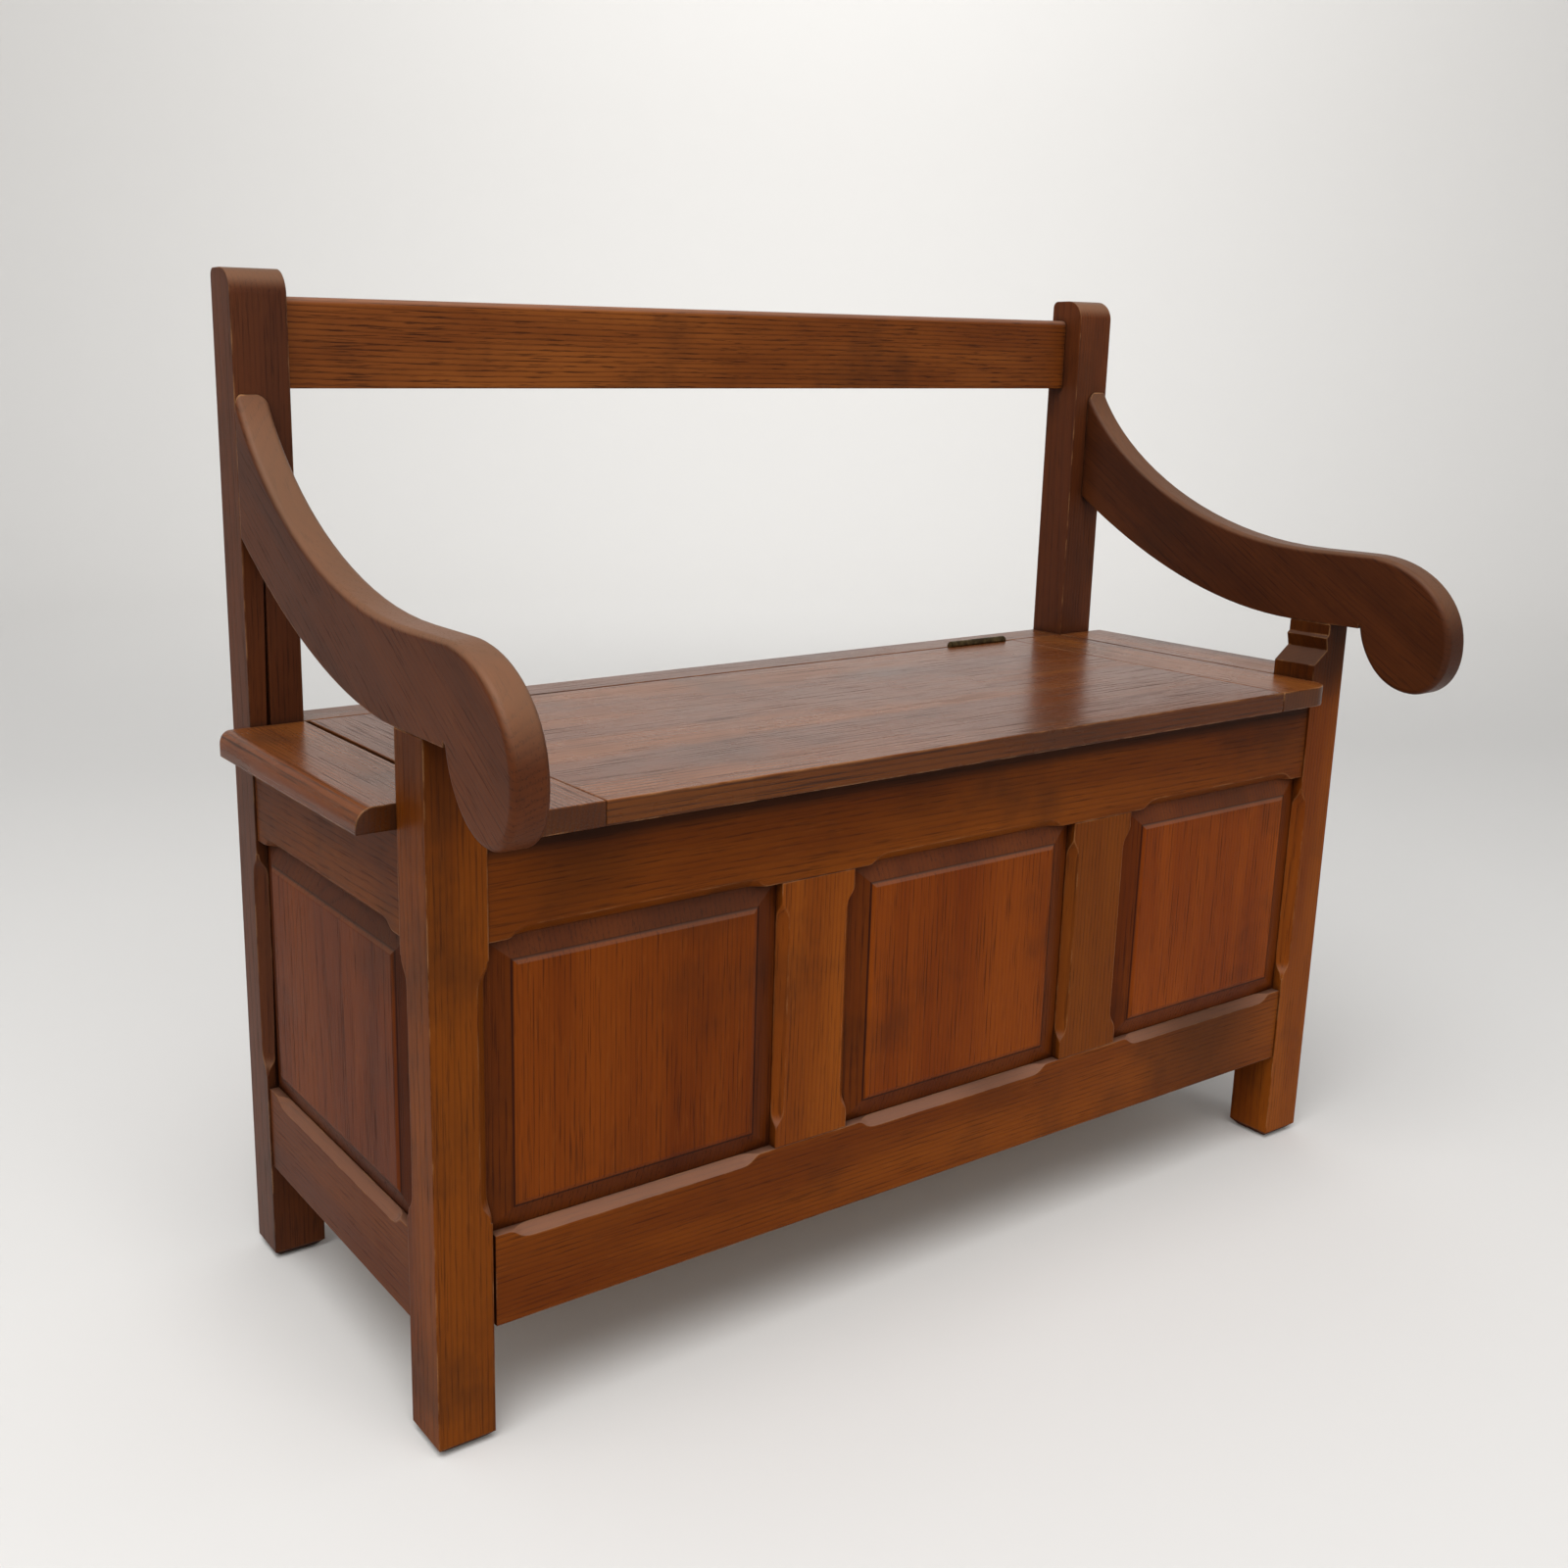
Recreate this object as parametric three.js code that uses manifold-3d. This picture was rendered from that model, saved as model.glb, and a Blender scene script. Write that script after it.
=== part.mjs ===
import * as THREE from 'three';
import { mergeVertices } from 'three/addons/utils/BufferGeometryUtils.js';
import Module from 'manifold-3d';

// Oak hall bench: a panelled storage box with a hinged seat lid, two scrolled arms and one crest rail.
// Millimetres, +Z up, front towards -Y. The frame is laid out with the back of the posts at y = 0,
// and the finished bench is then moved so that its origin is the bottom centre of its box.

// Overall frame
const benchWidth = 966;
const benchDepth = 356;
const seatHeight = 470;
const backRise = 353;

// Uprights
const postWidth = 45;
const postDepth = 40;
const postFrontRound = 20;
const postBackRound = 6;
const legWidth = 45;
const legDepth = 43;
const legBlockRise = 14;
const neckSlopeRise = 13;
const neckRidge = 3;
const neckRidgeDrop = 13;
const neckRidgeStep = 2.5;
const footBevel = 6;

// Panelled sides
const frameSetback = 1.5;
const railThickness = 20;
const topRailHeight = 73;
const lidShadowGap = 3;
const bottomRailHeight = 70.5;
const bottomRailBottom = 88;
const muntinWidth = 71;
const muntinOffset = 5;
const backMuntinWidth = 60;
const looseJointGap = 2.5;

// Stopped chamfers round each panel
const chamferWidth = 7.5;
const chamferPlainEnd = 12;
const chamferRunOut = 22;

// Raised panels and the grooves that hold them
const grooveSet = 8;
const grooveWidth = 6;
const grooveDepth = 6;
const panelSlack = 0.3;
const panelSideMargin = 20;
const panelEndMargin = 16.5;
const fieldSet = 2;
const fieldStep = 1.8;
const fieldBevel = 4;

// Mortise and tenon joints
const tenonLength = 18;
const tenonThickness = 9;
const tenonInset = 5.5;
const tenonShoulder = 8;
const jointGap = 0.3;

// Crest rail
const crestDrop = 20;
const crestHeight = 70;
const crestThickness = 18;
const crestBackInset = 2;
const crestRound = 6;

// Arms
const armThickness = 27;
const armRise = 52;
const armDrop = 96;
const armPostHeight = 139.5;
const armDepth = 68;
const armLevelInset = 26;
const armRound = 5;
const armTipInnerRound = 13;
const armTipOuterRound = 5;
const armTenonHeight = 36;
const armTenonDrop = 54;
const scrollReach = 118.5;
const scrollWidth = 90;
const scrollDrop = 53;
const armSegments = 20;

// Seat
const boardThickness = 18;
const endBoardOverhang = 29;
const endBoardCornerRadius = 12;
const noseRadius = 13;
const lidOverhang = 24;
const lidCornerRadius = 24;
const lidSideGap = 3.5;
const lidOffset = 1.3;
const lidEndWidth = 73;
const lidEndRearGap = 1;
const hingeStripDepth = 39;
const rearGap = 2.5;
const bearerReach = 13;
const bearerHeight = 22;

// Floor of the box
const floorThickness = 12;
const floorBoardCount = 5;
const floorBoardGap = 1;
const cleatSize = 16;

// Hinges and their screws
const hingeLength = 76;
const hingeInset = 88;
const leafThickness = 1.8;
const leafEdgeMargin = 0.2;
const leafClearance = 0.25;
const knuckleRadius = 4;
const knuckleCount = 5;
const knuckleGap = 0.4;
const pinRadius = 2;
const pinHeadRadius = 3;
const pinHeadThickness = 1.6;
const barrelRise = 1.5;
const screwHeadRadius = 3.2;
const screwShankRadius = 1.4;
const screwLength = 16;
const screwSlotWidth = 0.7;
const screwsPerLeaf = 3;

// Places that several pieces share
const halfWidth = benchWidth / 2;
const backHeight = seatHeight + backRise;
const legInner = halfWidth - legWidth;
const postInner = halfWidth - postWidth;
const legBack = -benchDepth + legDepth;
const boardBottom = seatHeight - boardThickness;
const topRailTop = boardBottom - lidShadowGap;
const topRailBottom = topRailTop - topRailHeight;
const bottomRailTop = bottomRailBottom + bottomRailHeight;
const crestBottom = backHeight - crestDrop - crestHeight;
const armUnderside = seatHeight + armRise;
const armTop = armUnderside + armDepth;
const pivotY = -hingeStripDepth - rearGap / 2;
const pivotZ = seatHeight + barrelRise;
const leafTop = pivotZ - knuckleRadius - jointGap;
const leafHeight = leafTop - boardBottom - leafEdgeMargin;
const screwZ = leafTop - leafHeight / 2;

const wasm = await Module();
wasm.setup();

// Booleans

function toSolid(geometry) {
  const bare = geometry.clone();
  bare.deleteAttribute('normal');
  bare.deleteAttribute('uv');
  const merged = mergeVertices(bare, 1e-4);
  const mesh = new wasm.Mesh({
    numProp: 3,
    vertProperties: Float32Array.from(merged.attributes.position.array),
    triVerts: Uint32Array.from(merged.index.array),
  });
  return new wasm.Manifold(mesh);
}

function toGeometry(solid) {
  const mesh = solid.getMesh();
  const geometry = new THREE.BufferGeometry();
  geometry.setAttribute('position', new THREE.BufferAttribute(Float32Array.from(mesh.vertProperties), 3));
  geometry.setIndex(new THREE.BufferAttribute(Uint32Array.from(mesh.triVerts), 1));
  geometry.computeVertexNormals();
  return geometry;
}

function join(geometries) {
  let solid = toSolid(geometries[0]);
  for (const geometry of geometries.slice(1)) {
    solid = solid.add(toSolid(geometry));
  }
  return toGeometry(solid);
}

function cut(geometry, tools) {
  let solid = toSolid(geometry);
  for (const tool of tools) {
    solid = solid.subtract(toSolid(tool));
  }
  return toGeometry(solid);
}

function common(first, second) {
  return toGeometry(toSolid(first).intersect(toSolid(second)));
}

// Basic shapes

function box(x0, x1, y0, y1, z0, z1) {
  const geometry = new THREE.BoxGeometry(x1 - x0, y1 - y0, z1 - z0);
  return geometry.translate((x0 + x1) / 2, (y0 + y1) / 2, (z0 + z1) / 2);
}

function outline(points) {
  return new THREE.Shape(points.map(([x, y]) => new THREE.Vector2(x, y)));
}

// A shape drawn in X and Z, extruded along Y from y0 to y1.
function alongY(shape, y0, y1, curveSegments = 10) {
  const geometry = new THREE.ExtrudeGeometry(shape, { depth: y1 - y0, bevelEnabled: false, curveSegments });
  return geometry.rotateX(Math.PI / 2).translate(0, y1, 0);
}

// A shape drawn in -Y and Z, seen from the right, extruded along X from x0 to x1.
function alongX(shape, x0, x1, curveSegments = 10) {
  const geometry = new THREE.ExtrudeGeometry(shape, { depth: x1 - x0, bevelEnabled: false, curveSegments });
  return geometry.rotateX(Math.PI / 2).rotateZ(-Math.PI / 2).translate(x1, 0, 0);
}

// A round bar along X.
function roundBar(radius, x0, x1, y, z, segments = 24) {
  const geometry = new THREE.CylinderGeometry(radius, radius, x1 - x0, segments);
  return geometry.rotateZ(Math.PI / 2).translate((x0 + x1) / 2, y, z);
}

function mirrorX(geometry) {
  const mirrored = geometry.clone().scale(-1, 1, 1);
  const index = mirrored.index.array;
  for (let i = 0; i < index.length; i += 3) {
    [index[i], index[i + 1]] = [index[i + 1], index[i]];
  }
  mirrored.computeVertexNormals();
  return mirrored;
}

// Panelled frames. Each frame is laid out flat: u runs along it, depth runs inwards from its face,
// and the placing below turns it to its side of the bench.

const placing = {
  front: { turn: 0, x: 0, y: -benchDepth + frameSetback },
  left: { turn: -Math.PI / 2, x: -halfWidth + frameSetback, y: 0 },
  right: { turn: Math.PI / 2, x: halfWidth - frameSetback, y: 0 },
  back: { turn: Math.PI, x: 0, y: -frameSetback },
};

function placeOn(side, geometry) {
  const { turn, x, y } = placing[side];
  return geometry.rotateZ(turn).translate(x, y, 0);
}

// The tenons at both ends of a member are one bar through it. With slack it is also the mortise.
function tenonBar({ u0, u1, z0, z1, upright }, slack) {
  const near = tenonInset - slack;
  const far = tenonInset + tenonThickness + slack;
  const reach = tenonLength + slack;
  const trim = tenonShoulder - slack;
  if (upright) {
    return box(u0 + trim, u1 - trim, near, far, z0 - reach, z1 + reach);
  }
  return box(u0 - reach, u1 + reach, near, far, z0 + trim, z1 - trim);
}

function mortise(member) {
  return placeOn(member.side, tenonBar(member, jointGap));
}

// The shoulders stop short of the pieces that the member runs between.
function memberGeometry(member) {
  const { u0, u1, z0, z1, upright, loose = 0 } = member;
  const shoulder = upright
    ? box(u0, u1, 0, railThickness, z0 + jointGap, z1 - jointGap)
    : box(u0 + jointGap + loose, u1 - jointGap, 0, railThickness, z0, z1);
  return placeOn(member.side, join([shoulder, tenonBar(member, 0)]));
}

// The tool that takes off one arris: its depth runs out in a lamb's tongue at each stop.
function chamferTool(length) {
  const depth = chamferWidth / Math.SQRT2;
  const start = chamferPlainEnd;
  const end = length - chamferPlainEnd;
  const run = chamferRunOut;
  const shape = new THREE.Shape();
  shape.moveTo(start, 1);
  shape.lineTo(start, 0);
  shape.bezierCurveTo(start + run * 0.45, 0, start + run * 0.35, -depth, start + run, -depth);
  shape.lineTo(end - run, -depth);
  shape.bezierCurveTo(end - run * 0.35, -depth, end - run * 0.45, 0, end, 0);
  shape.lineTo(end, 1);
  shape.closePath();
  const tool = new THREE.ExtrudeGeometry(shape, { depth: 3 * depth, bevelEnabled: false, curveSegments: 8 });
  return tool.translate(0, 0, -1.5 * depth);
}

// Everything that one panel opening takes out of the members round it.
function openingTools({ side, u0, u1, z0, z1, plain }) {
  const far = grooveSet + grooveWidth;
  const groove = box(u0 - grooveDepth, u1 + grooveDepth, grooveSet, far, z0 - grooveDepth, z1 + grooveDepth);
  const tools = [groove];
  if (!plain) {
    const level = (angle, z) => chamferTool(u1 - u0).rotateX(angle).translate(u0, 0, z);
    const turned = (angle) => chamferTool(z1 - z0).rotateY(-Math.PI / 2).rotateZ(angle);
    const upright = (angle, u) => turned(angle).translate(u, 0, z0);
    const slant = (3 * Math.PI) / 4;
    tools.push(level(-slant, z1), level(slant, z0), upright(-slant, u0), upright(slant, u1));
  }
  return tools.map((tool) => placeOn(side, tool));
}

// The section of a raised panel: tongue, sloping margin, small bevelled step and field.
function panelProfile(u0, u1, margin) {
  const reach = grooveDepth - 1;
  const tongueFront = grooveSet + panelSlack;
  const tongueBack = grooveSet + grooveWidth - panelSlack;
  const near = [
    [u0 - reach, tongueBack],
    [u0 - reach, tongueFront],
    [u0 + jointGap, tongueFront],
    [u0 + margin, fieldSet + fieldStep],
    [u0 + margin + fieldBevel, fieldSet],
  ];
  const far = near.map(([u, depth]) => [u0 + u1 - u, depth]).reverse();
  return [...near, ...far];
}

function raisedPanel({ side, u0, u1, z0, z1 }) {
  const across = outline(panelProfile(u0, u1, panelSideMargin));
  const upright = outline(panelProfile(z0, z1, panelEndMargin).map(([z, depth]) => [-depth, z]));
  const height = z1 - z0 + 2 * grooveDepth;
  const seenFromAbove = new THREE.ExtrudeGeometry(across, { depth: height, bevelEnabled: false });
  seenFromAbove.translate(0, 0, z0 - grooveDepth);
  const seenFromSide = alongX(upright, u0 - grooveDepth, u1 + grooveDepth);
  return placeOn(side, common(seenFromAbove, seenFromSide));
}

function flatPanel({ side, u0, u1, z0, z1 }) {
  const reach = grooveDepth - 1;
  const near = grooveSet + panelSlack;
  const far = grooveSet + grooveWidth - panelSlack;
  return placeOn(side, box(u0 - reach, u1 + reach, near, far, z0 - reach, z1 + reach));
}

// Openings of one width between the stiles. An offset moves all the inner stiles along together.
function evenOpenings(side, u0, u1, stileWidth, count, offset = 0) {
  const width = (u1 - u0 - stileWidth * (count - 1)) / count;
  return Array.from({ length: count }, (_, i) => {
    const start = u0 + i * (width + stileWidth) + (i > 0 ? offset : 0);
    const end = u0 + i * (width + stileWidth) + width + (i < count - 1 ? offset : 0);
    return { side, u0: start, u1: end, z0: bottomRailTop, z1: topRailBottom };
  });
}

function railPair(side, u0, u1, extra = {}) {
  const top = { side, u0, u1, z0: topRailBottom, z1: topRailTop };
  const bottom = { side, u0, u1, z0: bottomRailBottom, z1: bottomRailTop, ...extra };
  return { top, bottom };
}

function muntinsBetween(openings) {
  const height = { z0: bottomRailTop, z1: topRailBottom, upright: true };
  return openings.slice(1).map((opening, i) => (
    { side: opening.side, u0: openings[i].u1, u1: opening.u0, ...height }
  ));
}

const frontRails = railPair('front', -legInner, legInner, { loose: looseJointGap });
const frontOpenings = evenOpenings('front', -legInner, legInner, muntinWidth, 3, muntinOffset);
const frontMuntins = muntinsBetween(frontOpenings);
const leftRails = railPair('left', postDepth, -legBack);
const leftOpenings = evenOpenings('left', postDepth, -legBack, 0, 1);
const rightRails = railPair('right', legBack, -postDepth);
const rightOpenings = evenOpenings('right', legBack, -postDepth, 0, 1);
const backRails = railPair('back', -postInner, postInner);
const backOpenings = evenOpenings('back', -postInner, postInner, backMuntinWidth, 2);
const backMuntins = muntinsBetween(backOpenings);
for (const opening of backOpenings) {
  opening.plain = true;
}
// The end boards rest on the side rails, and the hinge strip on the back rail.
for (const rails of [leftRails, rightRails, backRails]) {
  rails.top.z1 = boardBottom - jointGap;
}

const crest = { side: 'back', u0: -postInner, u1: postInner, z0: crestBottom, z1: crestBottom + crestHeight };
const openings = [...frontOpenings, ...leftOpenings, ...rightOpenings, ...backOpenings];
const openingCuts = openings.flatMap(openingTools);
const railPairs = [frontRails, leftRails, rightRails, backRails];
const railMortises = railPairs.flatMap(({ top, bottom }) => [mortise(top), mortise(bottom)]);
const muntinMortises = [...frontMuntins, ...backMuntins].map(mortise);

// Uprights

function bevelledFoot(half) {
  return [[-half, footBevel], [-half + footBevel, 0], [half - footBevel, 0], [half, footBevel]];
}

function postSolid() {
  const middleX = halfWidth - postWidth / 2;
  const half = postWidth / 2;
  const front = outline([...bevelledFoot(half), [half, backHeight], [-half, backHeight]]);
  const side = new THREE.Shape();
  side.moveTo(footBevel, 0);
  side.lineTo(postDepth - footBevel, 0);
  side.lineTo(postDepth, footBevel);
  side.lineTo(postDepth, backHeight - postFrontRound);
  side.absarc(postDepth - postFrontRound, backHeight - postFrontRound, postFrontRound, 0, Math.PI / 2, false);
  side.absarc(postBackRound, backHeight - postBackRound, postBackRound, Math.PI / 2, Math.PI, false);
  side.lineTo(0, footBevel);
  side.closePath();
  const seenFromFront = alongY(front, -postDepth - 1, 1).translate(middleX, 0, 0);
  return common(seenFromFront, alongX(side, middleX - half, middleX + half));
}

function armTenonAtPost(slack) {
  const middleX = halfWidth - armThickness / 2;
  const half = tenonThickness / 2 + slack;
  const top = armTop + armPostHeight - armTenonDrop;
  const bottom = top - armTenonHeight;
  const y0 = -postDepth - 1;
  const y1 = -postDepth + tenonLength + slack;
  return box(middleX - half, middleX + half, y0, y1, bottom - slack, top + slack);
}

function legTenonInArm(slack) {
  const middleX = halfWidth - armThickness / 2;
  const half = tenonThickness / 2 + slack;
  const y0 = -benchDepth + tenonShoulder - slack;
  const y1 = legBack - tenonShoulder + slack;
  return box(middleX - half, middleX + half, y0, y1, armUnderside - 1, armUnderside + tenonLength + slack);
}

// The front leg is full width to a block above the seat, then slopes in to a neck as thick as the arm,
// with a small ridge round the neck.
function legSolid() {
  const half = legWidth / 2;
  const neckInner = half - armThickness;
  const blockTop = seatHeight + legBlockRise;
  const neckTop = armUnderside - jointGap;
  const front = outline([
    ...bevelledFoot(half),
    [half, neckTop],
    [neckInner, neckTop],
    [neckInner, neckTop - neckRidgeDrop + neckRidgeStep],
    [neckInner - neckRidge, neckTop - neckRidgeDrop],
    [neckInner, blockTop + neckSlopeRise],
    [-half, blockTop],
  ]);
  const side = outline([
    [benchDepth - footBevel, 0],
    [benchDepth, footBevel],
    [benchDepth, neckTop],
    [benchDepth - legDepth, neckTop],
    [benchDepth - legDepth, footBevel],
    [benchDepth - legDepth + footBevel, 0],
  ]);
  const middleX = halfWidth - half;
  const seenFromFront = alongY(front, -benchDepth - 1, legBack + 1).translate(middleX, 0, 0);
  return join([common(seenFromFront, alongX(side, legInner - 1, halfWidth)), legTenonInArm(0)]);
}

// Arms. The outline is drawn forwards from the back of the posts: it falls from the post in a hollow,
// levels out over the leg and ends in a round scroll that hangs in front of it.

const scrollFront = benchDepth + scrollReach;
const scrollBack = scrollFront - scrollWidth;
const scrollBottom = armUnderside - scrollDrop;
const scrollShoulder = scrollBack;

function armUnderCurve(path, fromX) {
  const join0 = -legBack;
  const span = join0 - postDepth;
  path.lineTo(join0, armUnderside);
  path.bezierCurveTo(
    join0 - span * 0.36, armUnderside + 1.5,
    postDepth + span * 0.27, armUnderside + armDrop * 0.5,
    fromX, armUnderside + armDrop + (postDepth - fromX) * 0.9,
  );
}

function armOutline(fromX) {
  const level = benchDepth - armLevelInset;
  const span = level - postDepth;
  const postTop = armTop + armPostHeight;
  const lobe = scrollFront - scrollShoulder;
  const shape = new THREE.Shape();
  shape.moveTo(fromX, postTop + (postDepth - fromX) * 1.76);
  shape.lineTo(postDepth, postTop);
  shape.bezierCurveTo(postDepth + span * 0.13, postTop - 67, postDepth + span * 0.52, armTop, level, armTop);
  shape.lineTo(scrollShoulder, armTop);
  shape.bezierCurveTo(
    scrollShoulder + lobe * 0.52, armTop,
    scrollFront, armTop - 30,
    scrollFront, armTop - 78,
  );
  shape.bezierCurveTo(
    scrollFront, scrollBottom + 15,
    scrollFront - lobe * 0.18, scrollBottom,
    scrollFront - lobe * 0.38, scrollBottom,
  );
  shape.bezierCurveTo(
    scrollFront - lobe * 0.76, scrollBottom,
    scrollShoulder + 3.5, scrollBottom + 33,
    scrollShoulder, armUnderside,
  );
  armUnderCurve(shape, fromX);
  shape.closePath();
  return shape;
}

// The upper arrises are rounded all the way round the scroll. The plain lower part keeps the
// underside flat where it sits on the leg and meets the post.
function armSolid() {
  const runIn = postDepth - 12;
  const x0 = halfWidth - armThickness;
  const rounded = new THREE.ExtrudeGeometry(armOutline(runIn), {
    depth: armThickness - 2 * armRound,
    bevelThickness: armRound,
    bevelSize: armRound,
    bevelOffset: -armRound,
    bevelSegments: 4,
    curveSegments: armSegments,
  });
  rounded.rotateX(Math.PI / 2).rotateZ(-Math.PI / 2).translate(halfWidth - armRound, 0, 0);
  const lower = new THREE.Shape();
  lower.moveTo(scrollShoulder, armUnderside);
  armUnderCurve(lower, runIn);
  lower.lineTo(runIn, armUnderside + armDrop + 60);
  lower.bezierCurveTo(
    postDepth + 60, armUnderside + 84,
    -legBack - 90, armUnderside + 36,
    -legBack, armUnderside + 34,
  );
  lower.lineTo(scrollShoulder, armUnderside + 34);
  lower.closePath();
  const whole = join([rounded, alongX(lower, x0, halfWidth, armSegments)]);
  const trimmed = cut(whole, [box(0, benchWidth, -postDepth - jointGap, 100, 0, 2 * backHeight)]);
  const shaped = common(trimmed, armTipRounding());
  return cut(join([shaped, armTenonAtPost(0)]), [legTenonInArm(jointGap)]);
}

// Seen from the front, the upper end of the arm is rounded off, more on its inner side.
function armTipRounding() {
  const x0 = halfWidth - armThickness;
  const top = armTop + armPostHeight;
  const inner = armTipInnerRound;
  const outer = armTipOuterRound;
  const shape = new THREE.Shape();
  shape.moveTo(x0, 0);
  shape.lineTo(halfWidth, 0);
  shape.absarc(halfWidth - outer, top - outer, outer, 0, Math.PI / 2, false);
  shape.absarc(x0 + inner, top - inner, inner, Math.PI / 2, Math.PI, false);
  shape.closePath();
  return alongY(shape, -scrollFront - 1, 1, 8);
}

// Crest rail

function crestSolid() {
  const y0 = crestBackInset;
  const y1 = crestBackInset + crestThickness;
  const top = crest.z1;
  const r = crestRound;
  const section = new THREE.Shape();
  section.moveTo(y0, crest.z0);
  section.lineTo(y1, crest.z0);
  section.lineTo(y1, top - r);
  section.absarc(y1 - r, top - r, r, 0, Math.PI / 2, false);
  section.absarc(y0 + r, top - r, r, Math.PI / 2, Math.PI, false);
  section.closePath();
  const body = alongX(section, -postInner + jointGap, postInner - jointGap, 6);
  return join([body, placeOn('back', tenonBar(crest, 0))]);
}

// Seat

function endBoard() {
  const outer = halfWidth + endBoardOverhang;
  const section = new THREE.Shape();
  section.moveTo(legInner, boardBottom);
  section.lineTo(outer, boardBottom);
  section.absarc(outer - noseRadius, seatHeight - noseRadius, noseRadius, 0, Math.PI / 2, false);
  section.lineTo(legInner, seatHeight);
  section.closePath();
  const front = legBack + jointGap;
  const rear = -postDepth - jointGap;
  const r = endBoardCornerRadius;
  const plan = new THREE.Shape();
  plan.moveTo(legInner, front);
  plan.lineTo(outer, front);
  plan.absarc(outer - r, rear - r, r, 0, Math.PI / 2, false);
  plan.lineTo(legInner, rear);
  plan.closePath();
  const seenFromAbove = new THREE.ExtrudeGeometry(plan, {
    depth: boardThickness, bevelEnabled: false, curveSegments: 8,
  });
  return common(alongY(section, front, rear), seenFromAbove.translate(0, 0, boardBottom));
}

function lidPanelBoard() {
  const half = legInner - lidSideGap - lidEndWidth - jointGap / 2;
  const rear = -hingeStripDepth - rearGap;
  const front = -benchDepth - lidOverhang;
  return box(lidOffset - half, lidOffset + half, front, rear, boardBottom, seatHeight);
}

// The board across each end of the lid, with its front corner rounded in plan.
function lidEndBoard() {
  const outer = legInner - lidSideGap;
  const inner = outer - lidEndWidth + jointGap / 2;
  const front = -benchDepth - lidOverhang;
  const rear = -Math.max(hingeStripDepth + lidEndRearGap, postDepth + jointGap);
  const r = lidCornerRadius;
  const plan = new THREE.Shape();
  plan.moveTo(inner, front);
  plan.lineTo(outer - r, front);
  plan.absarc(outer - r, front + r, r, -Math.PI / 2, 0, false);
  plan.lineTo(outer, rear);
  plan.lineTo(inner, rear);
  plan.closePath();
  const geometry = new THREE.ExtrudeGeometry(plan, {
    depth: boardThickness, bevelEnabled: false, curveSegments: 10,
  });
  return geometry.translate(0, 0, boardBottom);
}

function hingeStrip() {
  const half = postInner - jointGap;
  return box(-half, half, -hingeStripDepth, 0, boardBottom, seatHeight);
}

// Each bearer carries the end board and reaches in under the end of the lid.
function seatBearer() {
  const outer = halfWidth - frameSetback - railThickness - jointGap;
  const inner = legInner - bearerReach;
  const y0 = legBack + jointGap;
  const y1 = -postDepth - jointGap;
  const top = boardBottom - jointGap;
  return box(inner, outer, y0, y1, top - bearerHeight, top);
}

// Floor of the box: boards from front to back on two long cleats.

const railInside = frameSetback + railThickness + jointGap;
const cleatTop = bottomRailBottom + cleatSize;

function floorCleat(front) {
  const half = (front ? legInner : postInner) - jointGap;
  const y0 = front ? -benchDepth + railInside : -railInside - cleatSize;
  return box(-half, half, y0, y0 + cleatSize, bottomRailBottom, cleatTop);
}

function floorBoard(i) {
  const half = Math.min(legInner, postInner) - jointGap;
  const pitch = (2 * half + floorBoardGap) / floorBoardCount;
  const x0 = -half + i * pitch;
  const z0 = cleatTop + jointGap;
  return box(x0, x0 + pitch - floorBoardGap, -benchDepth + railInside, -railInside, z0, z0 + floorThickness);
}

// Butt hinges: one leaf let into the hinge strip, one into the rear edge of the lid.

function knuckleSpan(start, i) {
  const pitch = hingeLength / knuckleCount;
  return [start + i * pitch + knuckleGap / 2, start + (i + 1) * pitch - knuckleGap / 2];
}

function knuckle(x0, x1) {
  const ring = new THREE.Shape();
  ring.absarc(0, 0, knuckleRadius, 0, 2 * Math.PI, false);
  const bore = new THREE.Path();
  bore.absarc(0, 0, pinRadius + jointGap, 0, 2 * Math.PI, true);
  ring.holes.push(bore);
  return alongX(ring, x0, x1, 16).translate(0, pivotY, pivotZ);
}

function screwPlaces(start) {
  const pitch = hingeLength / screwsPerLeaf;
  return Array.from({ length: screwsPerLeaf }, (_, i) => start + (i + 0.5) * pitch);
}

// A countersunk screw lying along Y, driven away from the pivot: side 1 into the strip, -1 into the lid.
function screwBody(x, side, slack) {
  const head = leafThickness;
  const profile = [
    [0, 0],
    [screwHeadRadius + slack, 0],
    [screwShankRadius + slack, head],
    [screwShankRadius + slack, screwLength - 3],
    [0, screwLength + slack],
  ];
  const geometry = new THREE.LatheGeometry(profile.map(([r, h]) => new THREE.Vector2(r, h)), 16);
  geometry.rotateX(side > 0 ? 0 : Math.PI);
  return geometry.translate(x, pivotY + side * leafClearance, screwZ);
}

function screwSlot(x, side) {
  const y = pivotY + side * leafClearance;
  const half = screwSlotWidth / 2;
  return box(x - half, x + half, y - 0.7, y + 0.7, screwZ - 4, screwZ + 4);
}

function hingeLeaf(start, side) {
  const near = pivotY + side * leafClearance;
  const far = near + side * leafThickness;
  const y0 = Math.min(near, far);
  const y1 = Math.max(near, far);
  const pieces = [box(start, start + hingeLength, y0, y1, leafTop - leafHeight, leafTop)];
  for (let i = side > 0 ? 0 : 1; i < knuckleCount; i += 2) {
    const [x0, x1] = knuckleSpan(start, i);
    pieces.push(knuckle(x0, x1), box(x0, x1, y0, y1, leafTop - 0.5, pivotZ - pinRadius - 0.6));
  }
  const holes = screwPlaces(start).map((x) => screwBody(x, side, 0.15));
  return cut(join(pieces), holes);
}

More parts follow.
